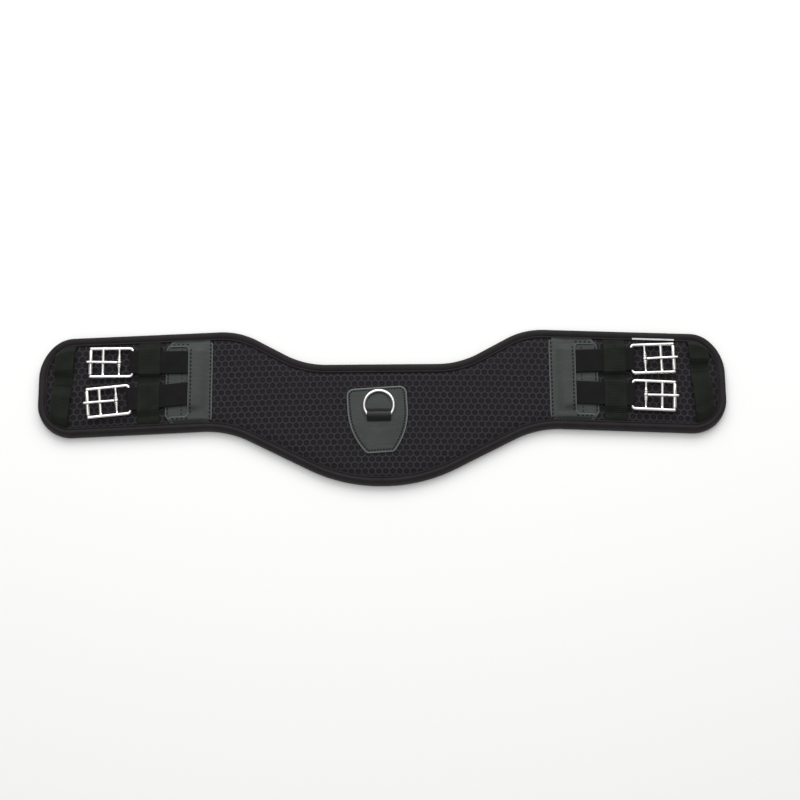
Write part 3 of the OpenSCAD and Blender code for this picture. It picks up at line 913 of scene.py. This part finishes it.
class Strap:
    """One strap's place, from its joints: origin on the strap bar, out along the strap."""

    def __init__(self, name):
        self.name = name
        self.side = 1 if name.startswith("right") else -1
        self.bar = np.array(JOINTS["buckle_tilt_" + name]["pos_m"]) / MM
        self.out = unit(np.array(JOINTS["stretch_" + name]["axis"], float))
        self.across = np.cross([0, 0, 1.0], self.out)
        self.tongue_x = np.linalg.norm(
            np.array(JOINTS["tongue_swing_" + name]["pos_m"]) / MM - self.bar)
        self.roller_x = np.linalg.norm(
            np.array(JOINTS["roller_spin_" + name]["pos_m"]) / MM - self.bar)

    def place(self, local):
        local = np.asarray(local, float)
        return (self.bar + local[:, :1] * self.out + local[:, 1:2] * self.across
                + local[:, 2:3] * np.array([0, 0, 1.0]))

    def centre_y(self, x):
        """The strap's middle line at distance x from the girth's middle."""
        return self.bar[1] + (x - abs(self.bar[0])) * self.out[1] / abs(self.out[0])


STRAPS = [Strap(n) for n in ("left_front", "left_rear", "right_front", "right_rear")]


def swept_strip(path, section):
    """Sweeps a closed section (across, off the path) along path (x, z), ends closed."""
    path = np.asarray(path, float)
    t = np.gradient(path, axis=0)
    t /= np.linalg.norm(t, axis=1, keepdims=True)
    normal = np.column_stack([-t[:, 1], t[:, 0]])
    verts = [np.column_stack([p[0] + nn[0] * section[:, 1], section[:, 0],
                              p[1] + nn[1] * section[:, 1]]) for p, nn in zip(path, normal)]
    return np.concatenate(verts), weave_grid(len(path), len(section), close_cols=True, caps=True)


def flat_section(width, thick, ribs=0):
    """Rounded rectangle section; ribs adds fine lengthwise grooves."""
    w, h = width / 2, thick / 2
    r = h * 0.9
    pts = []
    n = 37
    for k in range(n):
        u = -w + r + (2 * w - 2 * r) * k / (n - 1)
        groove = 0.045 * math.cos(2 * math.pi * k / 2) if ribs else 0.0
        pts.append((u, h + groove))
    for k in range(1, 6):
        a = math.pi / 2 - math.pi * k / 6
        pts.append((w - r + r * math.cos(a), h * math.sin(a)))
    for k in range(n):
        u = w - r - (2 * w - 2 * r) * k / (n - 1)
        pts.append((u, -h))
    for k in range(1, 6):
        a = -math.pi / 2 - math.pi * k / 6
        pts.append((-w + r + r * math.cos(a), h * math.sin(a)))
    return np.array(pts)


def resample(points, step):
    """Points at even steps along a line."""
    points = np.asarray(points, float)
    s = np.concatenate([[0], np.cumsum(np.linalg.norm(np.diff(points, axis=0), axis=1))])
    n = max(2, int(s[-1] / step))
    q = np.linspace(0, s[-1], n + 1)
    return np.column_stack([np.interp(q, s, points[:, i]) for i in range(points.shape[1])])


def soften(points, times):
    """Rounds the corners of a line, its ends held."""
    p = points.copy()
    for _ in range(times):
        p[1:-1] = (p[:-2] + 2 * p[1:-1] + p[2:]) / 4
    return p


def straps():
    """Each doubled elastic strap, folded round its strap bar."""
    for s in STRAPS:
        z0 = -s.bar[2]
        low = z0 + PATCH_Z + PLY / 2
        high = low + PLY + 0.12
        start = BAND_IN + 20 - abs(s.bar[0])
        r = 1.85 + PLY / 2
        fold = [(r * math.cos(a), r * math.sin(a)) for a in np.linspace(-1.75, 1.75, 25)]
        path = [(start, low), (start + 20, low), (-9, low), (-5.5, low - 0.1)] + fold
        path += [(-5.5, high + 0.9), (-9.5, high + 0.1), (start + 20, high), (start, high)]
        line = soften(resample(path, 0.7), 2)
        v, f = swept_strip(line, flat_section(STRAP_W, PLY, ribs=1))
        v = s.place(v)
        o = make("strap_" + s.name, v, f, M_STRAP)
        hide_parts("elastic_strap_" + s.name, "strap_loop_" + s.name)
        a, b = s.place([(start + 9, 0, 0)])[0], s.place([(-9, 0, 0)])[0]
        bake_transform(o)


# ---------------------------------------------------------------- keepers


def keeper(name, place, v_range, u_half, under, thick, rib, node):
    """A ribbed strip. place(u, v) gives x, y; under(u, v) gives the underside's height."""
    us = np.linspace(-u_half, u_half, 21)
    rows = 300
    lo = np.array([v_range(u)[0] for u in us])
    hi = np.array([v_range(u)[1] for u in us])
    top, low = [], []
    for k in np.linspace(0, 1, rows):
        v = lo + (hi - lo) * k
        xy = place(us, v)
        z = under(us, v)
        edge = np.clip((u_half - np.abs(us)) / 1.0, 0, 1)
        mean_v = v.mean()
        ribbed = smooth((u_half - 2.0 - np.abs(us)) / 1.2)
        bulge = (thick * (0.35 + 0.65 * np.sqrt(edge)) - 0.12 * (1 - ribbed)
                 + 0.2 * ribbed * np.cos(2 * math.pi * mean_v / rib))
        top.append(np.column_stack([xy, z + bulge]))
        low.append(np.column_stack([xy, z]))
    top, low = np.array(top), np.array(low)
    loops = np.concatenate([top, low[:, ::-1]], axis=1)
    faces = weave_grid(rows, loops.shape[1], close_cols=True, caps=True)
    o = make(name, loops.reshape(-1, 3), faces, M_KEEPER)
    attach(o, "girth", node)
    return o


def reach(place, u, v0, direction):
    """How far a strip runs from v0 before it dives under the binding."""
    vs = v0 + direction * np.arange(0, 80, 0.2)
    x, y = place(np.full(len(vs), u), vs).T
    d = edge_distance(np.column_stack([x, y]))
    hit = np.argmax(d < UNDER_LIP)
    return vs[hit]


def inner_keepers():
    """The ribbed elastic across both straps."""
    for side, tag in ((1, "right"), (-1, "left")):
        lo, hi = node_box("inner_keeper_" + tag)
        middle, half = (lo[0] + hi[0]) / 2, (hi[0] - lo[0]) / 2
        ends = [s for s in STRAPS if s.side == side]

        def place(u, v):
            return np.column_stack([middle + u, v])

        def under(u, v):
            x, y = middle + u, v
            over = np.zeros(len(u))
            for s in ends:
                off = y - s.centre_y(np.abs(x))
                outer = off > 0 if s.name.endswith("front") else off < 0
                ramp = np.where(outer, 9.5, 4.5)
                over = np.maximum(over, smooth((STRAP_W / 2 + ramp - np.abs(off)) / ramp))
            rise = PATCH_Z - FACE_Z + 2 * PLY + 0.65
            return FACE_Z - 0.1 + rise * over - 1.6 * sunk(x, y)

        keeper("inner_elastic_" + tag, place,
               lambda u: (reach(place, u, 20, -1), reach(place, u, 20, 1)),
               half, under, 1.0, 2.0, "inner_keeper_" + tag)


def outer_keepers():
    """The ribbed elastic near each end, sewn down once between two loops."""
    for side, tag, tack in ((1, "right", 39.0), (-1, "left", 29.0)):
        middle = side * (HALF - 27)
        lean = math.radians(4.0) * side
        half = 10.2

        def place(u, v, middle=middle, lean=lean):
            w = v - 25.0
            return np.column_stack([middle + u * math.cos(lean) - w * math.sin(lean),
                                    25.0 + u * math.sin(lean) + w * math.cos(lean)])

        spans = {}

        def span(u):
            if u not in spans:
                spans[u] = (reach(place, u, tack, -1), reach(place, u, tack, 1))
            return spans[u]

        def under(u, v):
            z = np.empty(len(u))
            for i, (a, b) in enumerate(zip(u, v)):
                rear, front = span(a)
                if b > tack:
                    w, height = (b - tack - 3.5) / (front - tack - 3.5), 6.3
                else:
                    w, height = (tack - 3.5 - b) / (tack - 3.5 - rear), 6.3
                w = min(max(w, 0.0), 1.0)
                rise = smooth(w / 0.3) * smooth((1 - w) / 0.24)
                z[i] = FACE_Z - 0.3 + height * rise - 1.7 * smooth((w - 0.9) / 0.1)
            return z

        keeper("outer_elastic_" + tag, place, span, half, under, 1.1, 2.1, "outer_keeper_" + tag)
        xs = np.linspace(-half + 1.5, half - 1.5, 12)
        rows = []
        for off in (-2.6, 2.6):
            xy = place(xs, np.full(len(xs), tack + off))
            rows.append(np.column_stack([xy, np.full(len(xs), FACE_Z + 0.85)]))
        stitches("keeper_tack_" + tag, rows, 2.6, 1.9, 0.6, 0.4)


# ---------------------------------------------------------------- metal


def bar_profile(half, base, bulges, step=0.25):
    """Radii along a cross bar: base plus rounded bulges (place, width, height)."""
    y = np.arange(-half, half + step / 2, step)
    r = np.full(len(y), base)
    for at, width, height in bulges:
        for sign in (-1, 1):
            r = np.maximum(r, base + height * np.clip(
                1 - ((y - sign * at) / width) ** 2, 0, 1) ** 0.5)
    return y, r


def flared(y, r, half, base, extra, length):
    """Radii that also grow towards both ends of a bar."""
    out = np.clip((np.abs(y) - (half - length)) / length, 0, 1)
    return np.maximum(r, base + extra * out ** 2)


def cross_bar(x, z, y, r, sides=20):
    """A bar along Y, in a strap's own frame."""
    path = np.column_stack([np.full(len(y), x), y, np.full(len(y), z)])
    return tube(path, r, sides)


def lathe(rings, sides=40):
    """A closed ring profile (axial, radius) turned about the Y axis."""
    verts = []
    for a, r in rings:
        for k in range(sides):
            w = 2 * math.pi * k / sides
            verts.append((r * math.cos(w), a, r * math.sin(w)))
    return np.array(verts), weave_grid(len(rings), sides, close_rows=True, close_cols=True)


SIDE_Y, BAR_R = 15.5, 1.8
MID_X, MID_Z = 31.9, -0.9


def frames():
    """Each buckle's frame: bent bar, tongue bar with collars, middle bar, pin."""
    for s in STRAPS:
        end = s.roller_x + BAR_R
        bend = 3.0
        run = np.linspace(end - BAR_R, bend + 0.1, 34)
        dome_s, dome_r = domed_end(BAR_R, 7)
        half = [(end - d, SIDE_Y) for d in dome_s[:-1]] + [(x, SIDE_Y) for x in run]
        radii = list(dome_r[:-1]) + [BAR_R] * len(run)
        for a in np.linspace(0, math.pi / 2, 9):
            half.append((bend - bend * math.sin(a), SIDE_Y - bend + bend * math.cos(a)))
            radii.append(BAR_R)
        for y in np.linspace(SIDE_Y - bend - 0.4, 0.5, 10):
            half.append((0.0, y))
            radii.append(BAR_R)
        path = half + [(x, -y) for x, y in reversed(half)]
        path = np.array([(x, y, 0.0) for x, y in path])
        parts = [tube(path, radii + radii[::-1], 24)]
        y, r = bar_profile(SIDE_Y, 1.36, [(3.0, 1.15, 1.5), (5.3, 0.95, 1.05)])
        r = flared(y, r, SIDE_Y - BAR_R + 0.5, 1.36, 0.45, 2.5)
        cone = np.clip((5.5 + 3.0 - np.abs(y)) / 3.0, 0, 1) * 0.35
        r = np.maximum(r, np.where(np.abs(y) > 4.75, 1.36 + cone, 0))
        parts.append(cross_bar(s.tongue_x, 0, y, r))
        y, r = bar_profile(SIDE_Y, 1.95, [])
        r = flared(y, r, SIDE_Y - BAR_R + 0.5, 1.95, 0.6, 2.4)
        parts.append(cross_bar(MID_X, MID_Z, y, r))
        y = np.linspace(-SIDE_Y, SIDE_Y, 41)
        parts.append(cross_bar(s.roller_x, 0, y, np.full(len(y), 1.28)))
        v, f = joined(parts)
        o = make("frame_" + s.name, s.place(v), f, M_STEEL)
        attach(o, "buckle_" + s.name, "buckle_frame_" + s.name)


def tongues():
    """Each tongue: an eye on the tongue bar and a bowed pin."""
    for s in STRAPS:
        eye, hole, half = 3.15, 1.44, 1.5
        rim = [(-half, hole + 0.15), (-half, eye - 0.5), (-half + 0.2, eye - 0.15),
               (-half + 0.55, eye), (half - 0.55, eye), (half - 0.2, eye - 0.15),
               (half, eye - 0.5), (half, hole + 0.15), (half - 0.2, hole), (-half + 0.2, hole)]
        v, f = lathe(rim)
        parts = [(v + np.array([s.tongue_x, 0, 0]), f)]
        top = 2.2 + 1.45 + 0.12
        x0 = s.tongue_x + 1.9
        knots = np.array([(x0, 1.0), (x0 + 2.5, 1.35), (x0 + 6, 1.75), (x0 + 14, 2.65),
                          (s.roller_x - 5, top - 0.35), (s.roller_x, top),
                          (s.roller_x + 2.5, top + 0.05), (s.roller_x + 4.6, top - 0.25)])
        line = soften(resample(knots, 0.4), 6)
        path = np.column_stack([line[:, 0], np.zeros(len(line)), line[:, 1]])
        r = np.full(len(line), 1.42)
        from_tip = np.abs(line[:, 0] - line[-1, 0])
        r = np.where(from_tip < 1.5, 1.42 * np.sqrt(np.clip(
            1 - ((1.5 - from_tip) / 1.5) ** 2, 0.02, 1)), r)
        parts.append(tube(path, r, 20))
        wrap = np.column_stack([np.linspace(s.tongue_x + 1.6, s.tongue_x + 6.4, 12),
                                np.zeros(12), np.linspace(-0.95, 0.35, 12)])
        rw = 1.2 * np.sqrt(np.clip(1 - np.linspace(0, 0.97, 12) ** 4, 0.05, 1))
        parts.append(tube(wrap, rw, 16))
        v, f = joined(parts)
        o = make("pin_" + s.name, s.place(v), f, M_STEEL)
        attach(o, "tongue_" + s.name, "tongue_" + s.name)


def rollers():
    """Each roller: a tube on the frame's end pin."""
    for s in STRAPS:
        half, outer, hole = 13.3, 2.35, 1.36
        rim = [(-half, hole + 0.12), (-half, outer - 0.3), (-half + 0.1, outer - 0.1),
               (-half + 0.35, outer), (half - 0.35, outer), (half - 0.1, outer - 0.1),
               (half, outer - 0.3), (half, hole + 0.12), (half - 0.12, hole), (-half + 0.12, hole)]
        v, f = lathe(rim, 36)
        v = v + np.array([s.roller_x, 0, 0])
        o = make("roller_tube_" + s.name, s.place(v), f, M_STEEL)
        attach(o, "roller_" + s.name, "roller_" + s.name)


def d_ring():
    """The ring of round wire; returns where its straight bar lies."""
    lo, hi = node_box("d_ring")
    wire = (hi[2] - lo[2]) / 2
    z = (hi[2] + lo[2]) / 2
    big = (hi[0] - lo[0]) / 2 - wire
    cx, cy = (hi[0] + lo[0]) / 2, hi[1] - wire - big
    bar_y = lo[1] + wire
    bend = 2.6
    down = cy - bar_y - bend
    dip = math.asin(down / (big - bend))
    corner = (big - bend) * math.cos(dip)
    half = [(big * math.cos(a), big * math.sin(a)) for a in np.linspace(math.pi / 2, -dip, 46)]
    half += [(corner + bend * math.cos(a), -down + bend * math.sin(a))
             for a in np.linspace(-dip, -math.pi / 2, 9)[1:]]
    half += [(x, -down - bend) for x in np.linspace(corner, 0, 12)[1:]]
    path = half + [(-x, y) for x, y in reversed(half[1:-1])]
    path = np.array([(cx + x, cy + y, z) for x, y in path])
    v, f = tube(path, wire + 0.2, 24, closed=True)
    o = make("ring", v, f, M_STEEL)
    attach(o, "d_ring", "d_ring")
    return cx, bar_y


def tab(cx, bar_y):
    """Leather strip over the ring's bar, both ends let into the patch."""
    lo, hi = node_box("dring_loop")
    half = (hi[0] - lo[0]) / 2 + 0.6
    top = hi[2] - LEATHER / 2 - 0.05
    base = PATCH_Z - 0.55
    knots = np.array([(bar_y + 8.4, base), (bar_y + 7.0, base + 0.35), (bar_y + 4.6, base + 2.0),
                      (bar_y + 2.6, top - 0.75), (bar_y + 0.6, top), (bar_y - 1.2, top - 0.15),
                      (bar_y - 3.2, top - 1.2), (bar_y - 5.2, base + 2.2),
                      (bar_y - 6.8, base + 0.6), (bar_y - 8.0, base)])
    line = soften(resample(knots, 0.35), 8)
    section = flat_section(2 * half, LEATHER)
    v, f = swept_strip(line, section)
    v = np.column_stack([cx + v[:, 1], v[:, 0], v[:, 2]])
    v[:, 2] -= 0.35 * np.clip(np.abs(v[:, 0] - cx) / half, 0, 1) ** 3 * smooth(
        (v[:, 2] - PATCH_Z) / 4)
    edge = smooth((np.abs(v[:, 0] - cx) - (half - 0.45)) / 0.3) * 0.5
    # the tab's leather is painted near-black as painted shade
    o = make("ring_tab", v, f, M_TAB_PAINTED_SHADE, masks={"edge": edge})
    attach(o, "girth", "dring_loop")


def webbing():
    """The load webbing hidden in the pad."""
    for tag in ("front", "rear"):
        lo, hi = node_box("webbing_" + tag)
        half = (hi[1] - lo[1]) / 2 - 0.1
        x = np.linspace(lo[0] + 0.5, hi[0] - 0.5, 300)
        z = (lo[2] + hi[2]) / 2 - 0.1 + 0.05 * np.cos(x / 1.4 * 2 * math.pi / 4)
        v, f = swept_strip(np.column_stack([x, z]), flat_section(2 * half, 1.15, ribs=1))
        v[:, 1] += (lo[1] + hi[1]) / 2
        o = make("web_" + tag, v, f, M_WEBBING)
        attach(o, "girth", "webbing_" + tag)


def label():
    """The plain silver tab on the seam's lip."""
    lo, hi = node_box("seam_label")
    slope = -math.degrees(math.atan(END_FALL / (HALF - END_IN - SHOULDER_X)))
    centre = ((lo[0] + hi[0]) / 2, (lo[1] + hi[1]) / 2 + 1.3)
    corners = turned([(-22.8, 1.0, 0.3), (22.8, 1.0, 0.3), (22.8, -1.0, 0.3),
                      (-22.8, -1.0, 0.3)], centre, slope)

    def under(x, y):
        return np.full(len(x), LIP_TOP + 0.05) + 0.12 * wobble(x, y, 14, 5)

    o = plate("blank_label", corners, under, 0.4, M_LABEL,
              [(0.0, 0.25, 0), (0.12, 0.05, 0), (0.4, 0.0, 0)], 1.0, arc=3, straight=1.0)
    attach(o, "girth", "seam_label")


# ---------------------------------------------------------------- build

cover()
binding()
lining()
foam()
webbing()
under_patches()
straps()
bands()
inner_keepers()
outer_keepers()
frames()
tongues()
rollers()
ring_place = d_ring()
shield()
tab(*ring_place)
label()

# ---------------------------------------------------------------- stage


def floor():
    bpy.ops.mesh.primitive_plane_add(size=6, location=(0, 0, 0))
    o = bpy.context.object
    o.name = "floor"
    n = Nodes("pale_floor")
    n.finish((0.93, 0.935, 0.925), 0.9, Specular_IOR_Level=0.1)
    o.data.materials.append(n.material)


def lights():
    world = bpy.context.scene.world or bpy.data.worlds.new("studio")
    bpy.context.scene.world = world
    world.use_nodes = True
    back = world.node_tree.nodes["Background"]
    back.inputs[0].default_value = (1.0, 1.0, 1.0, 1.0)
    back.inputs[1].default_value = 0.37
    for name, place, size, power, aim in (
            ("far_softbox", (0.1, 1.7, 1.6), (3.0, 1.4), 46, (0, 0, 0)),
            ("top_softbox", (-0.2, 0.0, 2.4), (2.6, 1.8), 21, (0, 0, 0))):
        data = bpy.data.lights.new(name, "AREA")
        data.shape = "RECTANGLE"
        data.size, data.size_y = size
        data.energy = power
        o = bpy.data.objects.new(name, data)
        o.location = place
        o.rotation_euler = (Vector(aim) - Vector(place)).to_track_quat("-Z", "Y").to_euler()
        bpy.context.collection.objects.link(o)


def camera():
    elevation, lens, sensor, roll = math.radians(77.0), 70.0, 36.0, math.radians(0.45)
    target = Vector((0.01935, 0.00845, 0.006))
    seen_width = 0.8664  # metres across the picture at the girth
    away = seen_width * lens / sensor
    back = Vector((0, -math.cos(elevation), math.sin(elevation)))
    data = bpy.data.cameras.new("camera")
    data.lens, data.sensor_width = lens, sensor
    o = bpy.data.objects.new("camera", data)
    o.location = target + back * away
    turn = (-back).to_track_quat("-Z", "Y").to_matrix().to_4x4()
    o.rotation_euler = turn.to_euler()
    o.rotation_euler.rotate_axis("Z", -roll)
    bpy.context.collection.objects.link(o)
    bpy.context.scene.camera = o


floor()
lights()
camera()
bpy.context.scene.view_settings.view_transform = "Standard"
